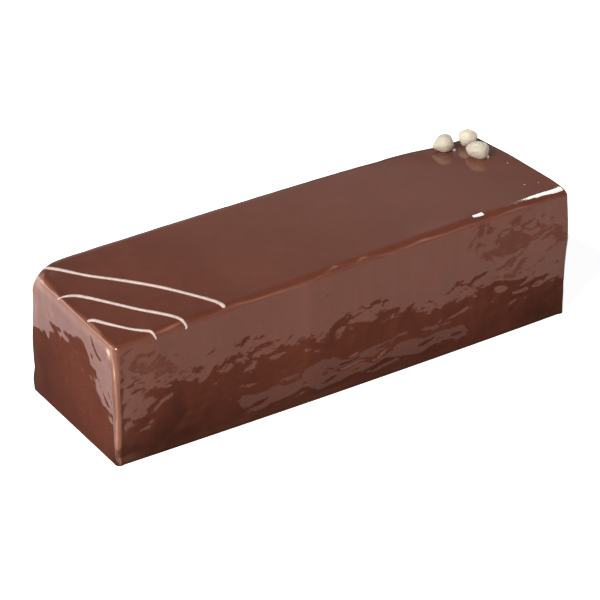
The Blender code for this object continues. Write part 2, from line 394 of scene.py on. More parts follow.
glazeRelief = {
    # wave length along and up the wall, and height of the ripple
    "ripples": ((42, 30, 0.25), (15, 12, 0.28), (7.5, 6.5, 0.22), (4.2, 4.6, 0.07)),
    "streaks": (4, 45, 0.05),
    "swirl": (17, 13, 7),           # wave length along and up of what drags the pattern about, and how far
    "swirlStart": (20, 70),         # the cells where the noise that drags it up and down starts
    "seedSteps": {"swirl": 20, "streaks": 9, "patches": 30},
    "footFade": 1.6,
    "inset": 0.1,
    "facing": 0.15,                 # a wall's relief begins where the skin faces that way more than this
    "brushFade": 1.6,               # how soon the brushing fades where the skin turns up
    "brushEnds": 0.75,              # and how much less of it the ends have
    # each wall's direction, the axis along it, its share of the relief (the ends are smoother), its seed,
    # and patches of finer relief: place along, height, half length, half height, wave length along and up,
    # and depth
    "walls": {
        "near": {"toward": (0, -1), "axis": 0, "share": 1, "seed": 11, "patches": (
            (114, 60, 22, 8, 8, 5, 0.62), (86, 57, 7, 6, 8, 5, 0.60),
            (-131, 52, 8, 12, 7, 5, 0.75), (5, 12, 60, 8, 17, 4.4, 0.95),
            (100, 22, 36, 11, 7, 5, 0.60), (-105, 20, 34, 12, 8, 6, 0.60))},
        "far": {"toward": (0, 1), "axis": 0, "share": 1, "seed": 31, "patches": (
            (-60, 13, 50, 8, 16, 4.6, 0.80), (70, 24, 40, 12, 8, 5.5, 0.60),
            (-110, 58, 20, 8, 8, 5, 0.50))},
        "left": {"toward": (-1, 0), "axis": 1, "share": 0.62, "seed": 51, "patches": (
            (-24, 52, 14, 8, 8, 6, 0.32), (12, 40, 18, 8, 4.5, 11, 0.40),
            (0, 12, 40, 8, 9, 7, 0.35))},
        "right": {"toward": (1, 0), "axis": 1, "share": 0.62, "seed": 71, "patches": (
            (-10, 50, 22, 9, 6, 8, 0.42), (10, 14, 34, 9, 12, 4.6, 0.60))},
    },
}

# Where the glaze is darker: glaze that pooled, and painted shade at the foot and in patches
glazePoolsAndShade = {
    # x, y, z, the three reaches, and strength
    "places": (
        (136, -44, 0, 34, 70, 26, 0.80), (-120, -44, 2, 38, 7, 22, 0.78), (-112, -44, 62, 9, 8, 7, 0.30),
        (60, -44, 0, 40, 20, 12, 0.30), (-20, -44, 0, 80, 20, 9, 0.45), (-106, -44, 18, 4.5, 8, 22, 0.45),
        (-140, -44, 0, 5, 5, 5, 0.80), (-140, 40, 17, 20, 26, 28, 0.66), (30, 44, 0, 110, 20, 10, 0.45),
        (-140, 4, 70, 5, 34, 5, 0.35), (118, 36, 73, 10, 7, 6, 0.60), (-140, 8, 62, 6, 12, 8, 0.45),
        (-124, 34, 74, 12, 12, 6, 0.18), (-132, -44, 52, 6, 8, 12, 0.22)),
    "mottle": (9, 14, 0.6), "mottleSeed": 6,   # wave length along and up, and depth
}

# Where the glaze is thin and where highlights are painted: lines along three edges, partly thin glaze and
# partly painted highlight, then painted glints and a warmer top
glazeWearAndHighlights = {
    # place along the edge, turn over the edge in degrees, and strength
    "nearEdge": (
        (-139, 38, 0.08), (-128, 46, 0.05), (-121, 44, 0.06), (-117, 42, 0.14), (-113, 44, 0.36),
        (-109, 40, 0.50), (-105, 36, 0.44), (-101, 30, 0.22), (-96, 40, 0.04), (-84, 55, 0.05),
        (-75, 44, 0.14), (-68, 46, 0.22), (-60, 60, 0.20), (-46, 70, 0.20), (-36, 76, 0.16),
        (-28, 80, 0.10), (-17, 50, 0.05), (-12, 30, 0.20), (-9.8, 24, 0.52), (-7.5, 30, 0.06),
        (2, 48, 0.06), (7, 32, 0.38), (11, 40, 0.06), (24, 78, 0.08), (34, 66, 0.14), (40, 58, 0.28),
        (44, 55, 0.46), (49, 62, 0.22), (58, 70, 0.14), (68, 66, 0.10), (78, 66, 0.04), (90, 66, 0.05),
        (97, 62, 0.14), (106, 60, 0.24), (112, 70, 0.10), (120, 78, 0.03), (139, 78, 0.02)),
    "nearWidth": 10,
    "leftEdge": (
        (-40, 60, 0.45), (-34, 58, 0.30), (-30, 52, 0.24), (-26, 38, 0.38), (-22, 34, 0.46),
        (-18, 34, 0.40), (-13, 38, 0.22), (-9, 40, 0.12), (-4, 44, 0.03), (6, 50, 0), (11, 52, 0.05),
        (14, 50, 0.02), (22, 52, 0.16), (28, 56, 0.36), (34, 62, 0.52), (39, 64, 0.56), (42, 64, 0.45)),
    "leftWidth": 17,
    # both lie where the skin faces their own side more than the first, and the next less than the second
    "upperFacing": (0.02, 0.6),
    "upright": (
        (0, 66, 0.20), (2.2, 72, 0.62), (4.2, 70, 0.60), (5.8, 58, 0.10), (9.5, 46, 0.05), (11, 43, 0.46),
        (16, 43, 0.60), (26, 44, 0.55), (31, 50, 0.46), (35, 52, 0.46), (42, 53, 0.52), (50, 45, 0.60),
        (56, 37, 0.72), (61, 28, 0.66), (66, 10, 0.50)),
    "uprightWidth": 10.5,
    "uprightFacing": (0.2, 0.75),   # it lies where the skin faces away and up less than this
    # a softer warm band beside the line, part of its painted highlight: turn beyond it, width, strength,
    # and reach along the side
    "uprightHighlightHalo": (22, 22, 0.28, 9),
    "mottle": (6, 6, 0.25), "mottleSeed": 5,   # wave length along and up, and depth
    # painted glints, light spots at the left corners where highlights fall: x, y, z, reach, strength
    "paintedGlints": (
        (-140, -37, 66.6, 1.9, 0.80), (-140, -37.6, 63.6, 1.9, 0.55), (-140, 42, 65.5, 5, 0.30),
        (-139, 36, 69, 4, 0.15)),
    # warmer and lighter over the top where it faces up: place along and strength, and how soon it fades
    # over the edge
    "topWarmth": ((-80, 0), (-50, 0.04), (60, 0.045), (105, 0.062)),
    "topPower": 4,
}


def coreLimits():
    # How far the flat core reaches along, across and up
    return np.array([loaf["length"] / 2, loaf["width"] / 2, loaf["height"]]) - loaf["edgeRadius"]


def arcSteps():
    # Steps of equal angle round an edge: radius times the tangent
    return loaf["edgeRadius"] * np.tan(np.linspace(0, np.pi / 4, loaf["edgeSteps"] + 1)[1:])


def placesAcross(core, step):
    # Even steps over the flat part, and the steps of an edge beyond each end of it
    flat = np.linspace(-core, core, round(2 * core / step) + 1)
    return np.concatenate([-core - arcSteps()[::-1], flat, core + arcSteps()])


def boxSkin(columns, rows, layers):
    # The lattice's outer points, each numbered once, the outward quads of the top and the four walls, and
    # the loop of points round the flat underside
    outer = np.zeros((len(columns), len(rows), len(layers)), bool)
    outer[[0, -1]] = outer[:, [0, -1]] = outer[:, :, -1] = True
    numbers = np.full(outer.shape, -1)
    numbers[outer] = np.arange(outer.sum())
    i, j, k = np.nonzero(outer)
    sides = (numbers[:, :, -1], numbers[:, 0], numbers[:, -1].T, numbers[0].T, numbers[-1])
    quads = np.concatenate([gridQuads(side) for side in sides])
    foot = numbers[:, :, 0]
    loop = np.concatenate([foot[0, :-1], foot[:-1, -1], foot[-1, :0:-1], foot[:0:-1, 0]])
    return np.stack([columns[i], rows[j], layers[k]], -1), quads, loop


def roundedBlock():
    # The points of a box, each brought to one edge radius from the core. Gives them with their outward
    # directions, the quads and the loop round the foot
    limits = coreLimits()
    stepX, stepY, stepZ = loaf["gridSteps"]
    flatLayers = np.linspace(0, limits[2], round(limits[2] / stepZ) + 1)
    layers = np.concatenate([flatLayers, limits[2] + arcSteps()])
    block, quads, foot = boxSkin(placesAcross(limits[0], stepX), placesAcross(limits[1], stepY), layers)
    core = np.clip(block, -limits, limits)
    outward = unit(block - core)
    return core + loaf["edgeRadius"] * outward, outward, quads, foot


def shapeUpperEdges(points, outward):
    # The quarter circle becomes a quarter ellipse that touches the same top and wall
    radius, limits = loaf["edgeRadius"], coreLimits()
    x, y, z = points.T   # views, so what moves them moves the points
    across, down = between(x, loaf["longEdge"])
    ends = zip(between(y, loaf["leftEdge"]), between(y, loaf["rightEdge"]))
    endAcross, endDown = (np.where(x < 0, left, right) for left, right in ends)
    fadeAcross, fadeDown = loaf["edgeFade"]
    nearX, nearY = (
        np.clip(1 - (limit - np.abs(place)) / fadeAcross, 0, 1) for limit, place in zip(limits, (x, y)))
    downwards = np.clip(1 - (limits[2] - z) / fadeDown, 0, 1) * (1 - outward[:, 2])
    flat = np.maximum(np.hypot(outward[:, 0], outward[:, 1]), hair)
    shareX, shareY = (outward[:, :2] / flat[:, None]).T ** 2
    facing = np.clip(outward[:, 2] / loaf["edgeFacing"], 0, 1)
    y -= np.sign(y) * (across - radius) * (1 - np.abs(outward[:, 1])) * nearY * facing
    z += downwards * ((radius - down) * shareY + (radius - endDown) * shareX)
    x -= np.sign(x) * (endAcross - radius) * (1 - np.abs(outward[:, 0])) * nearX


def wallFacing(outward, toward):
    # The square of the way from the least facing that counts to facing the direction fully
    least = glazeRelief["facing"]
    return np.clip((outward[:, :2] @ np.array(toward, float) - least) / (1 - least), 0, 1) ** 2


def wallRelief(run, high, patches, seed):
    # Ripples of falling size, upright streaks and patches of finer crumpling, all on a dragged pattern,
    # fading out where the wall meets the ground
    steps = glazeRelief["seedSteps"]
    long, tall, drag = glazeRelief["swirl"]
    startU, startV = glazeRelief["swirlStart"]
    swirlU = run + drag * pattern(run, high, long, tall, seed + steps["swirl"])
    swirlV = high + drag * rippleNoise(run / long + startU, high / tall + startV, seed + steps["swirl"] + 1)
    relief = sum(
        depth * pattern(swirlU, swirlV, wide, tall, seed + count)
        for count, (wide, tall, depth) in enumerate(glazeRelief["ripples"]))
    wide, tall, depth = glazeRelief["streaks"]
    relief += depth * pattern(run, high, wide, tall, seed + steps["streaks"])
    for count, (along, level, halfLong, halfTall, wide, tall, depth) in enumerate(patches):
        share = depth * bell(run - along, halfLong) * bell(high - level, halfTall)
        relief += share * pattern(swirlU, swirlV, wide, tall, seed + steps["patches"] + count)
    return (relief - glazeRelief["inset"]) * (1 - bell(high, glazeRelief["footFade"]))


def loafRelief(points, outward):
    # What each wall has, by how far the skin faces its way, plus the swellings and dents of the outline and
    # the low swelling along the near shoulder. The foot stays where it is
    x, y, z = points.T
    relief = sum(
        wall["share"] * wallFacing(outward, wall["toward"])
        * wallRelief(points[:, wall["axis"]], z, wall["patches"], wall["seed"])
        for wall in glazeRelief["walls"].values())
    [ridge] = between(x, loaf["shoulder"])
    lineY, lineZ, reach = loaf["shoulderLine"]
    relief += bellsAt(points, loaf["bulges"]) + ridge * bell(np.hypot(y - lineY, z - lineZ), reach)
    return relief * (z > 0)


def edgeBand(place, turn, marks, width):
    # A bell of the turn over the edge round a line whose turn and strength are read between the marks
    turns, strengths = between(place, marks)
    return strengths * bell(turn - turns, width)


def thinnessAndHighlight(points, lifted, outward):
    # Lines along the near, the left and the upright edge, partly thin glaze and partly painted highlight,
    # with a warm band beside the last, all a little uneven, then painted glints and a warmer, lighter top
    x, y, z = points.T
    outX, outY, outZ = outward.T
    nearTurn, leftTurn = np.degrees(np.arctan2(-outY, outZ)), np.degrees(np.arctan2(-outX, outZ))
    uprightTurn = np.degrees(np.arctan2(-outY, -outX))
    least, most = glazeWearAndHighlights["upperFacing"]
    nearLine = edgeBand(x, nearTurn, glazeWearAndHighlights["nearEdge"], glazeWearAndHighlights["nearWidth"])
    nearLine *= (-outY > least) * (np.abs(outX) < most)
    leftLine = edgeBand(y, leftTurn, glazeWearAndHighlights["leftEdge"], glazeWearAndHighlights["leftWidth"])
    leftLine *= (-outX > least) * (np.abs(outY) < most)
    uprightLine = edgeBand(z, uprightTurn, glazeWearAndHighlights["upright"], glazeWearAndHighlights["uprightWidth"])
    beyond, haloWidth, halo, haloReach = glazeWearAndHighlights["uprightHighlightHalo"]
    uprightHighlightHalo = halo * edgeBand(z, uprightTurn - beyond, glazeWearAndHighlights["upright"], haloWidth)
    uprightHighlightHalo *= bell(np.maximum(x + coreLimits()[0], 0), haloReach)
    away, up = glazeWearAndHighlights["uprightFacing"]
    onUpright = (outX < away) * (outY < away) * (outZ < up)
    wearAndHighlight = np.maximum(np.maximum(uprightLine, uprightHighlightHalo) * onUpright, np.maximum(nearLine, leftLine))
    wide, tall, depth = glazeWearAndHighlights["mottle"]
    wearAndHighlight *= 1 + depth * pattern(x, y + z, wide, tall, glazeWearAndHighlights["mottleSeed"])
    [warmth] = between(x, glazeWearAndHighlights["topWarmth"])
    wearAndHighlight += bellsAt(lifted, glazeWearAndHighlights["paintedGlints"]) + warmth * np.clip(outZ, 0, 1) ** glazeWearAndHighlights["topPower"]
    return np.clip(wearAndHighlight, 0, 1)


def poolingAndShade(points):
    # Pooled glaze and painted shade: bells along, across and up, a little uneven
    x, y, z = points.T
    poolAndShade = sum(
        strength * bell(x - along, reachX) * bell(y - across, reachY) * bell(z - level, reachZ)
        for along, across, level, reachX, reachY, reachZ, strength in glazePoolsAndShade["places"])
    wide, tall, depth = glazePoolsAndShade["mottle"]
    poolAndShade *= 1 + depth * pattern(x + y, z, wide, tall, glazePoolsAndShade["mottleSeed"])
    return np.clip(poolAndShade, 0, 1)


def brushing(points, outward):
    # Whole on the long walls, less on the ends, and none on the top and at the foot
    ends = sum(wallFacing(outward, glazeRelief["walls"][name]["toward"]) for name in ("left", "right"))
    sideways = np.clip(1 - glazeRelief["brushFade"] * outward[:, 2], 0, 1)
    return sideways * (1 - glazeRelief["brushEnds"] * ends) * (points[:, 2] > 0)


def makeLoaf(material):
    # The rounded block's points, moved by the relief along their own outward direction, and settled
    points, outward, quads, foot = roundedBlock()
    shapeUpperEdges(points, outward)
    lifted = points + outward * loafRelief(points, outward)[:, None]
    piece = addPiece("glaze", settle(lifted), quads, material, [foot.tolist()])
    piece.data.set_sharp_from_angle(angle=np.radians(loaf["sharpAngle"]))
    # thin glaze and painted highlights along the edges, painted glints, and a warmer top
    paint(piece, "thinnessAndHighlight", thinnessAndHighlight(points, lifted, outward))
    # pooled glaze and painted shade, darker at the foot and in patches
    paint(piece, "poolingAndShade", poolingAndShade(points))
    paint(piece, "wall", brushing(points, outward))
    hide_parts("glazed_loaf")
    print("Glaze:", len(quads), "quads")


glazeMaterial = makeGlaze(glazeLook)
makeLoaf(glazeMaterial)


# Icing threads, half sunk in the glaze

icingLook = {
    "colour": (0.45, 0.353, 0.305, 1),
    "shadow": (0.38, 0.285, 0.240, 1),
    "roughness": 0.42,
    "cloud": (420, 3), "cloudSpan": (0.3, 0.6),   # repeats a metre and octaves, and the part that is used
    "bumpStrength": 0.4, "bumpDepth": 0.0001,
}

threads = {
    "step": 0.5, "around": 20, "unevenness": 0.10, "unevenLength": 7.0,
    "unevenStart": (3, 3.5), "seed": 21,   # where on the noise the unevenness starts, and the first seed
    "bluntness": 0.03,                     # share of the radius at which a pole closes the tip
    # points as (along, across, width) over the unrolled skin
    "routes": {
        "icingLong": (
            (-133.9, 42.8, 1.4), (-130.8, 36.7, 1.8), (-119.6, 20.9, 1.7), (-107.9, 8.2, 1.7),
            (-96.2, -5.7, 1.8), (-87.6, -18.2, 1.7), (-78.2, -34.3, 1.8), (-75.9, -42.0, 2.3)),
        "icingMiddle": (
            (-141.0, 12.9, 1.0), (-137.1, 9.3, 1.5), (-130.8, 4.9, 1.8), (-119.1, -11.5, 1.7),
            (-113.1, -20.3, 1.7), (-102.2, -34.7, 1.8), (-99.3, -43.2, 1.5), (-99.8, -45.4, 0.8)),
        "icingShort": (
            (-138.9, -15.6, 1.9), (-138.0, -15.4, 2.2), (-135.7, -17.5, 2.1), (-131.6, -23.8, 1.7),
            (-125.1, -32.9, 1.3), (-121.1, -37.3, 1.6), (-117.8, -40.3, 1.7), (-117.0, -43.0, 1.4),
            (-116.6, -45.2, 0.8)),
    },
}


def makeIcing(look):
    # White with a little shadow in clouds
    material, tree, shader = newMaterial("whiteIcing")
    cloud = noiseAt(tree, objectPlace(tree), *look["cloud"])
    setSockets(shader, {
        "Base Color": mixed(tree, spread(tree, cloud, *look["cloudSpan"]), look["shadow"], look["colour"]),
        "Roughness": look["roughness"],
        "Normal": bumped(tree, cloud, look["bumpStrength"], look["bumpDepth"]),
    })
    return material


def smoothRoute(points, step):
    # Cubic Hermite spans through the points, with the slopes that central differences give
    knots = np.array(points)
    slopes = np.gradient(knots, axis=0)
    spans = []
    for here, there, leave, arrive in zip(knots[:-1], knots[1:], slopes[:-1], slopes[1:]):
        count = max(2, round(float(np.linalg.norm(there[:2] - here[:2])) / step))
        t = (np.arange(count) / count)[:, None]
        spans.append(
            (2 * t ** 3 - 3 * t ** 2 + 1) * here + (t ** 3 - 2 * t ** 2 + t) * leave
            + (3 * t ** 2 - 2 * t ** 3) * there + (t ** 3 - t ** 2) * arrive)
    return np.concatenate(spans + [knots[-1:]])


def makeThread(name, points, material, seed):
    # A ring carried along the route in the plane of the skin's outward direction, its radius half the
    # width, times a slow unevenness, and drawn in over the last half width at each end as a ball is
    route = smoothRoute(points, threads["step"])
    centre, outward = skinPoint(route[:, 0], route[:, 1])
    centre = settle(centre)
    forward = unit(np.gradient(centre, axis=0))
    sideways = unit(np.cross(forward, outward))
    raised = np.cross(sideways, forward)
    walked = np.concatenate([[0], np.cumsum(np.linalg.norm(np.diff(centre, axis=0), axis=1))])
    startU, startV = threads["unevenStart"]
    wobble = rippleNoise(walked / threads["unevenLength"] + startU, walked * 0 + startV, seed)
    radius = route[:, 2] / 2 * (1 + threads["unevenness"] * wobble)
    fromEnd = np.clip(np.minimum(walked, walked[-1] - walked) / radius, threads["bluntness"], 1)
    radius = radius * np.sqrt(1 - (1 - fromEnd) ** 2)
    turn = np.linspace(0, 2 * np.pi, threads["around"], endpoint=False)
    ring = np.cos(turn)[None, :, None] * sideways[:, None] + np.sin(turn)[None, :, None] * raised[:, None]
    tube = centre[:, None] + radius[:, None, None] * ring
    quads, caps = ringFaces(len(route), threads["around"])
    skin = np.concatenate([tube.reshape(-1, 3), centre[:1], centre[-1:]])
    piece = addPiece(name, skin, quads, material, caps.tolist())
    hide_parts("glazed_loaf")


icingMaterial = makeIcing(icingLook)
for seed, (name, points) in enumerate(threads["routes"].items()):
    makeThread(name, points, icingMaterial, threads["seed"] + seed)
print("Icing threads:", len(threads["routes"]))


# Blanched hazelnuts

nuts = {
    "around": 96, "along": 64,
    "seed": 61, "seedSteps": {"lumps": 5, "creases": 9},
    "narrowing": 0.16, "tipPower": 4,
    # depths are shares of the radius, and the counts are waves of the noise over it
    "furrows": 0.03, "furrowCount": 9, "furrowBend": 1.1,
    "lumps": 0.13, "lumpCount": 1.4,
    "creases": 0.035, "creaseWidth": 0.06, "creaseCount": 2.1, "creaseLean": 1.2,
    "noiseStart": 40, "creaseStart": 30,   # the cells where their noises start
    "blushHeight": 2.4,
    "seatReach": 4.0, "seatDepth": 0.05,
    # the darkening of the collar is painted shade: the dark contact line round each nut's foot
    # the collar of glaze: it starts this far in under the nut, and its edge dips this far beyond and below
    "collarHeight": 0.35, "collarReach": 0.8, "collarSteps": 8, "collarAround": 72, "collarShade": 0.9,
    "collarInside": 0.5, "collarBeyond": 0.2, "collarBelow": 0.3,
    # each nut's tone is painted light: the rear nut is made lighter than the others
    "kernels": {
        "nutLeft": {
            "node": "hazelnut_left", "place": (112.7, 34.4), "length": 11.8, "breadth": 10.3,
            "squareness": 0.80, "toneAndLight": 0.91, "tip": 0.40, "bearing": 165, "droop": 12, "roll": 0,
            "sunk": 0.9},
        "nutRear": {
            "node": "hazelnut_rear", "place": (128.3, 33.2), "length": 10.3, "breadth": 9.5,
            "squareness": 0.60, "toneAndLight": 1.13, "tip": 0.14, "bearing": -38, "droop": -24, "roll": 40,
            "sunk": 1.1},
        "nutFront": {
            "node": "hazelnut_front", "place": (122.5, 16.5), "length": 12.9, "breadth": 9.7,
            "squareness": 0.68, "toneAndLight": 0.90, "tip": 0.20, "bearing": 120, "droop": 4, "roll": 75,
            "sunk": 1.2},
    },
}

kernelLook = {
    "cream": (0.505, 0.445, 0.335, 1),
    "blush": (0.46, 0.37, 0.28, 1),
    "rim": (0.50, 0.375, 0.31, 1),
    "roughness": 0.48,
    "soften": 0.12, "softenDepth": 0.002, "softenRadius": (1, 0.7, 0.4),
    "powder": 0.35,
    "cloud": (210, 4), "cloudSpan": (0.25, 0.5),   # repeats a metre and octaves, and the part that is used
    "bumpStrength": 0.5, "bumpDepth": 0.00015,
}


def makeKernelMaterial(look):
    # Cream with a blush in clouds, warmer low down, and each nut lighter or darker as a whole, painted
    # light that makes the rear nut lighter than the others
    material, tree, shader = newMaterial("blanchedKernel")
    cloud = noiseAt(tree, objectPlace(tree), *look["cloud"])
    shade = mixed(tree, spread(tree, cloud, *look["cloudSpan"]), look["blush"], look["cream"])
    rim = mixed(tree, painted(tree, "low"), shade, look["rim"])
    setSockets(shader, {
        "Base Color": scaled(tree, rim, painted(tree, "toneAndLight")),
        "Roughness": look["roughness"],
        "Subsurface Weight": look["soften"],
        "Subsurface Scale": look["softenDepth"],
        "Subsurface Radius": look["softenRadius"],
        "Sheen Weight": look["powder"],
        "Normal": bumped(tree, cloud, look["bumpStrength"], look["bumpDepth"]),
    })
    return material


def seatOf(x, y):
    # The settled top's point at a place, and its upward direction from points a little way along and across
    reach, high = nuts["seatReach"], loaf["height"]
    marks = np.array([[x, y], [x + reach, y], [x - reach, y], [x, y + reach], [x, y - reach]], float)
    seat, right, left, back, front = settle(np.concatenate([marks, np.full((5, 1), high)], 1))
    return seat, unit(np.cross(right - left, back - front))


def makeCollar(name, centre, section, material):
    # The glaze that climbs the foot of a nut: a closed ring round the nut's own outline at the glaze, whose
    # height falls from the nut outwards with the square of the share still to go
    around, reach, height = nuts["collarAround"], nuts["collarReach"], nuts["collarHeight"]
    turn = np.linspace(0, 2 * np.pi, around, endpoint=False)
    bearing = np.arctan2(section[:, 1], section[:, 0]) % (2 * np.pi)
    places = np.round(bearing / (2 * np.pi) * around).astype(int) % around
    outline = np.zeros(around)
    np.maximum.at(outline, places, np.hypot(section[:, 0], section[:, 1]))
    outline = np.where(outline > 0, outline, np.roll(outline, 1))
    outline = sum(np.roll(outline, shift) for shift in (-2, -1, 0, 1, 2)) / 5
    share = np.linspace(0, 1, nuts["collarSteps"] + 1)
    inside, below = -nuts["collarInside"], -nuts["collarBelow"]
    out = np.concatenate([[inside], share * reach, [reach + nuts["collarBeyond"], inside]])
    up = np.concatenate([[height], height * (1 - share) ** 2, [below, below]])
    radius = outline[:, None] + out[None, :]
    x, y = centre[0] + radius * np.cos(turn)[:, None], centre[1] + radius * np.sin(turn)[:, None]
    top = settle(np.stack([x, y, np.full_like(x, loaf["height"])], -1))
    top[..., 2] += up
    numbers = np.pad(np.arange(radius.size).reshape(radius.shape), (0, 1), "wrap")
    return addPiece(name, top.reshape(-1, 3), gridQuads(numbers.T), material)


def kernelShape(nut, seed):
    # A ball with poles at the tip and the base: rings are squarer towards the base, the front half narrows,
    # and the tip is drawn out by a power of the place along. Shallow furrows run from end to end, and
    # creases lie where a noise crosses zero. Gives the rings' points, then the two poles
    polar = np.linspace(0, np.pi, nuts["along"] + 1)[1:-1, None]
    around = np.linspace(0, 2 * np.pi, nuts["around"], endpoint=False)[None, :]
    x = np.cos(polar) + 0 * around
    y, z = np.sin(polar) * np.cos(around), np.sin(polar) * np.sin(around)
    ring = np.hypot(y, z)
    power = np.where(x < 0, nut["squareness"], 1.0)
    front = np.maximum(x, 0)
    drawn = front ** nuts["tipPower"]
    thick = ring ** power / ring * (1 - nuts["narrowing"] * front ** 2 - nut["tip"] * drawn / 2)
    start, steps = nuts["noiseStart"], nuts["seedSteps"]
    lumps, creases = nuts["lumpCount"], nuts["creaseCount"]
    furrow = rippleNoise(around * nuts["furrowCount"] / np.pi + start, x * nuts["furrowBend"] + start, seed)
    lump = rippleNoise(y * lumps + x + start, z * lumps + start, seed + steps["lumps"])
    start = nuts["creaseStart"]
    crossing = rippleNoise(
        y * creases + start, z * creases + x * nuts["creaseLean"] + start, seed + steps["creases"])
    swell = 1 + nuts["furrows"] * furrow * np.sin(polar) + nuts["lumps"] * lump
    swell -= nuts["creases"] * bell(crossing, nuts["creaseWidth"])
    reach = np.sign(x) * np.abs(x) ** power + nut["tip"] * drawn
    halfLength, halfBreadth = nut["length"] / (2 + nut["tip"]), nut["breadth"] / 2
    across = thick * swell * halfBreadth
    shape = np.stack([reach * halfLength, y * across, z * across], -1)
    poles = np.array([[(1 + nut["tip"]) * halfLength, 0, 0], [-halfLength, 0, 0]])
    return np.concatenate([shape.reshape(-1, 3), poles])


def makeKernel(name, nut, material, seed):
    # Turned to its bearing and set on the glaze, sunk a little; what would lie below is pressed flat there
    turned = Euler(np.radians([nut["roll"], nut["droop"], nut["bearing"]])).to_matrix()
    points = kernelShape(nut, seed) @ np.array(turned).T
    seat, upward = seatOf(*nut["place"])
    points += seat - (0, 0, points[:, 2].min() + nut["sunk"])
    above = (points - seat) @ upward + nuts["seatDepth"]
    section = points[above < 0] - seat
    points -= np.minimum(above, 0)[:, None] * upward
    quads, caps = ringFaces(nuts["along"] - 1, nuts["around"])
    piece = addPiece(name, points, quads, material, caps.tolist())
    paint(piece, "low", bell((points - seat) @ upward, nuts["blushHeight"]))
    # painted light: each nut's brightness as a whole
    paint(piece, "toneAndLight", np.full(len(points), nut["toneAndLight"]))
    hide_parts(nut["node"])
    collar = makeCollar(name + "Collar", seat, section, glazeMaterial)
    # the collar is darkened all over as painted shade at the nut's foot
    for attribute, value in (("thinnessAndHighlight", 0), ("poolingAndShade", nuts["collarShade"]), ("wall", 0)):
        paint(collar, attribute, np.full(len(collar.data.vertices), value))


kernelMaterial = makeKernelMaterial(kernelLook)
for seed, (name, nut) in enumerate(nuts["kernels"].items()):
    makeKernel(name, nut, kernelMaterial, nuts["seed"] + seed)
print("Hazelnuts:", len(nuts["kernels"]))


# Specks: five pale crumbs on the top, each a flattened ball half sunk in the glaze; the two beside the nuts
# stand in for glints, as painted highlights

specksAndGlints = {
    "around": 24, "along": 12,
    # x, y, height of the middle over the glaze, half width, half height
    "places": (
        (131, 0.5, 0, 0.36, 0.26), (122.6, -25.2, 0, 0.38, 0.28), (130.5, -27.4, 0, 0.30, 0.22),
        # painted highlights: the two crumbs at the nuts' feet stand where glints fall
        (117, 30.7, 0.25, 1.10, 0.75), (125.9, 11.4, 0.60, 0.75, 1.10)),
}


def makeSpecksAndGlints(setup, material):
    # Balls from polar angle and turn; the first and last rings close to a point
    polar = np.linspace(0, np.pi, setup["along"] + 1)[1:-1, None]
    turn = np.linspace(0, 2 * np.pi, setup["around"], endpoint=False)[None, :]
    flat = np.sin(polar)
    rings = np.stack([flat * np.cos(turn), flat * np.sin(turn), np.cos(polar) + 0 * turn], -1)
    ball = np.concatenate([rings.reshape(-1, 3), [[0, 0, 1], [0, 0, -1]]])
    ballQuads, ballCaps = ringFaces(setup["along"] - 1, setup["around"])
    points, quads, caps = [], [], []
    for count, (x, y, lift, wide, high) in enumerate(setup["places"]):
        seat = settle(np.array([[x, y, loaf["height"]]]))
        points.append(seat + (0, 0, lift) + ball * (wide, wide, high))
        quads.append(ballQuads + count * len(ball))
        caps += (ballCaps + count * len(ball)).tolist()
    addPiece("specksAndGlints", np.concatenate(points), np.concatenate(quads), material, caps)


makeSpecksAndGlints(specksAndGlints, icingMaterial)
print("Specks:", len(specksAndGlints["places"]))


# Studio: a pale floor, cards that the glaze mirrors, soft boxes and a sky that is dim overhead

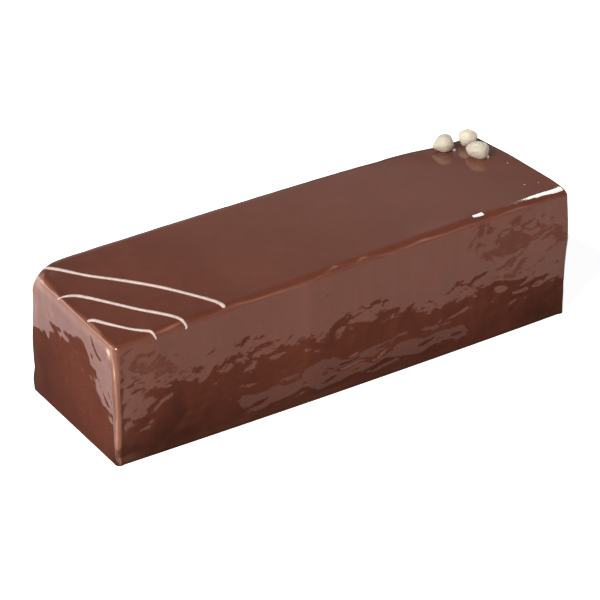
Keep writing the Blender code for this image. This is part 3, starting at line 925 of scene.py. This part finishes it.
studio = {
    # its size is in metres; levels are in millimetres
    "floor": {"size": 12, "level": -0.2, "colour": (0.86, 0.86, 0.86, 1), "roughness": 0.9, "glow": 0.95},
    "cardRoughness": 0.6,
    # cards flat on the floor, in millimetres: a dark one round the cake, one that glows farther out, and
    # pale and dark patches that the glaze mirrors low down
    "groundCards": {
        "groundCard": {"colour": (0.03, 0.02, 0.017, 1), "dimming": True, "outline": (
            (-60, -101), (40, -100), (130, -90), (185, -70), (200, 0), (190, 90), (100, 110), (-100, 115),
            (-177, 97), (-184, 70), (-174, 42), (-167, 20), (-160, -4), (-150, -28), (-140, -50),
            (-119, -74), (-95, -92))},
        "glowCard": {"level": -0.1, "colour": (1, 0.88, 0.88, 1), "brightness": 1.60, "outline": (
            (-150, -100), (-1500, -100), (-1500, 1500), (-100, 1500), (-100, 90))},
        "palePatch": {"level": 0.2, "colour": (0.55, 0.53, 0.52, 1), "outline": (
            (-58, -56), (-20, -54), (40, -54), (86, -57), (90, -66), (40, -72), (-30, -71), (-60, -66))},
        "rightPatch": {"colour": (0.36, 0.32, 0.31, 1), "outline": (
            (146, -118), (162, -108), (192, -112), (196, -132), (170, -140), (148, -130))},
        "leftPatch": {"colour": (0.36, 0.32, 0.31, 1), "outline": (
            (-96, -112), (-72, -106), (-56, -112), (-62, -124), (-86, -130), (-98, -124))},
        "cornerPatch": {"colour": (0.36, 0.32, 0.31, 1), "outline": (
            (-147.8, -38.4), (-155.9, -36.1), (-154.3, -49), (-145.1, -58.3), (-132.2, -60),
            (-134.2, -51.8), (-141.4, -50.7), (-146.6, -45.5))},
    },
    # dark cards that stand, in metres: one behind the left end, high enough that only the rim of that end
    # reflects it, and a low one behind the cake
    "standingCards": {
        "rimCard": {"colour": (0.12, 0.10, 0.10, 1), "dimming": False, "corners": (
            (0.30, 1.35, 0.40), (-1.20, 0.65, 0.40), (-1.20, 0.65, 1.70), (0.30, 1.35, 1.70))},
        "backFlag": {"colour": (0.03, 0.02, 0.017, 1), "dimming": True, "corners": (
            (0.9191, 0.2598, 0), (-0.1911, 0.9358, 0), (-0.1911, 0.9358, 0.2), (0.9191, 0.2598, 0.2))},
    },
    # a bright shape that the near upper edge reflects as streaks: its outline is in millimetres aside and
    # up from its centre
    "streak": {
        "colour": (0.77, 0.97, 1, 1), "brightness": 14,
        "centre": (1.0514, 0.7555, 1.1323),
        "aside": (-0.791, 0.325, 0.518), "up": (0.014, -0.838, 0.546),
        "outline": (
            (28, -320), (0, -400), (-30, -400), (-104, -325), (-150, -120), (-185, 250), (-134, 330),
            (-48, 230), (23, 165), (44, 100), (54, -10), (50, -90), (40, -200))},
    "boxes": {
        "keyBox": {
            "toward": (-0.746, -0.238, 0.622), "distance": 3.2, "size": (1.2, 1.2), "power": 113},
        "backPanel": {
            "toward": (-0.62, 0.76, 0.17), "distance": 1.7, "size": (1.3, 0.55), "power": 6.5,
            "glossOnly": True},
    },
    # brightness by height above the horizon plus a share of the reach towards the back
    "sky": {
        "lean": (0.196, 0.291, 1),
        "marks": ((0, 0.95), (0.60, 0.88), (0.70, 0.56), (0.77, 0.46), (0.83, 0.31), (0.95, 0.12))},
    # what reflections see of it falls off low down to the right
    "shade": {
        "lean": (1, 0, -0.5),
        "marks": ((0.27, 0.88), (0.30, 0.78), (0.325, 0.61), (0.345, 0.50), (0.37, 0.35))},
}


def addFloor(setup):
    # Plain and pale, with a little glow for the camera alone that keeps the ground near white
    half, level = setup["size"] / 2, setup["level"] * mm
    mesh = bpy.data.meshes.new("floor")
    corners = [(-half, -half, level), (half, -half, level), (half, half, level), (-half, half, level)]
    mesh.from_pydata(corners, [], [(0, 1, 2, 3)])
    material, tree, shader = newMaterial("paleFloor")
    glow = tree.nodes.new("ShaderNodeMath")
    glow.operation = "MULTIPLY"
    seen = tree.nodes.new("ShaderNodeLightPath")
    setSockets(glow, {0: seen.outputs["Is Camera Ray"], 1: setup["glow"]})
    setSockets(shader, {
        "Base Color": setup["colour"],
        "Roughness": setup["roughness"],
        "Specular IOR Level": 0,
        "Emission Color": (1, 1, 1, 1),
        "Emission Strength": glow.outputs["Value"],
    })
    mesh.materials.append(material)
    floor = addObject("floor", mesh)


def addCard(name, corners, colour, dimming=False, brightness=0):
    # A card that the camera doesn't see; without dimming only reflections do
    mesh = bpy.data.meshes.new(name)
    mesh.from_pydata(corners, [], [tuple(range(len(corners)))])
    material, tree, shader = newMaterial(name)
    setSockets(shader, {
        "Base Color": (0, 0, 0, 1) if brightness else colour,
        "Roughness": studio["cardRoughness"],
        "Emission Color": colour,
        "Emission Strength": brightness,
    })
    material.cycles.emission_sampling = "NONE"  # found by reflected rays alone, which keeps the grain down
    mesh.materials.append(material)
    card = addObject(name, mesh)
    card.visible_camera = False
    card.visible_diffuse = dimming
    card.visible_shadow = False
    card.visible_transmission = False


def streakCorners(streak):
    # The centre plus so many millimetres aside and up
    centre, aside, up = (Vector(streak[name]) for name in ("centre", "aside", "up"))
    return [centre + aside * (a * mm) + up * (b * mm) for a, b in streak["outline"]]


def addBox(name, box):
    # An upright rectangle of light that faces the cake from its distance
    light = bpy.data.lights.new(name, "AREA")
    light.shape = "RECTANGLE"
    light.size, light.size_y = box["size"]
    light.energy = box["power"]
    lamp = addObject(name, light)
    toward, upright = Vector(box["toward"]).normalized(), Vector((0, 0, 1))
    tall = (upright - upright.dot(toward) * toward).normalized()
    turn = Matrix((tall.cross(toward), tall, toward)).transposed()
    lamp.matrix_world = Matrix.LocRotScale(toward * box["distance"], turn.to_quaternion(), None)
    lamp.visible_camera = False
    lamp.visible_diffuse = not box.get("glossOnly", False)


def addSky(sky, shade):
    # The sky's brightness, which reflections see times the shade's
    world = bpy.data.worlds.new("studioSky")
    bpy.context.scene.world = world
    world.use_nodes = True
    tree = world.node_tree
    direction = tree.nodes.new("ShaderNodeTexCoord").outputs["Generated"]

    def glowOf(setup):
        # A brightness read from the direction's dot product with the lean
        along = tree.nodes.new("ShaderNodeVectorMath")
        along.operation = "DOT_PRODUCT"
        setSockets(along, {0: direction, 1: setup["lean"]})
        marks = [(place, (glow, glow, glow, 1)) for place, glow in setup["marks"]]
        return rampOf(tree, along.outputs["Value"], marks)

    seen = tree.nodes.new("ShaderNodeLightPath")
    shaded = mixed(tree, seen.outputs["Is Glossy Ray"], glowOf(sky), glowOf(shade), "MULTIPLY")
    setSockets(tree.nodes["Background"], {"Color": shaded})


addFloor(studio["floor"])
for name, card in studio["groundCards"].items():
    corners = [(x * mm, y * mm, card.get("level", 0) * mm) for x, y in card["outline"]]
    addCard(name, corners, card["colour"], card.get("dimming", False), card.get("brightness", 0))
for name, card in studio["standingCards"].items():
    addCard(name, card["corners"], card["colour"], card["dimming"])
streak = studio["streak"]
addCard("streakCard", streakCorners(streak), streak["colour"], False, streak["brightness"])
for name, box in studio["boxes"].items():
    addBox(name, box)
addSky(studio["sky"], studio["shade"])
bpy.context.scene.view_settings.view_transform = "Standard"
print("Studio ready")
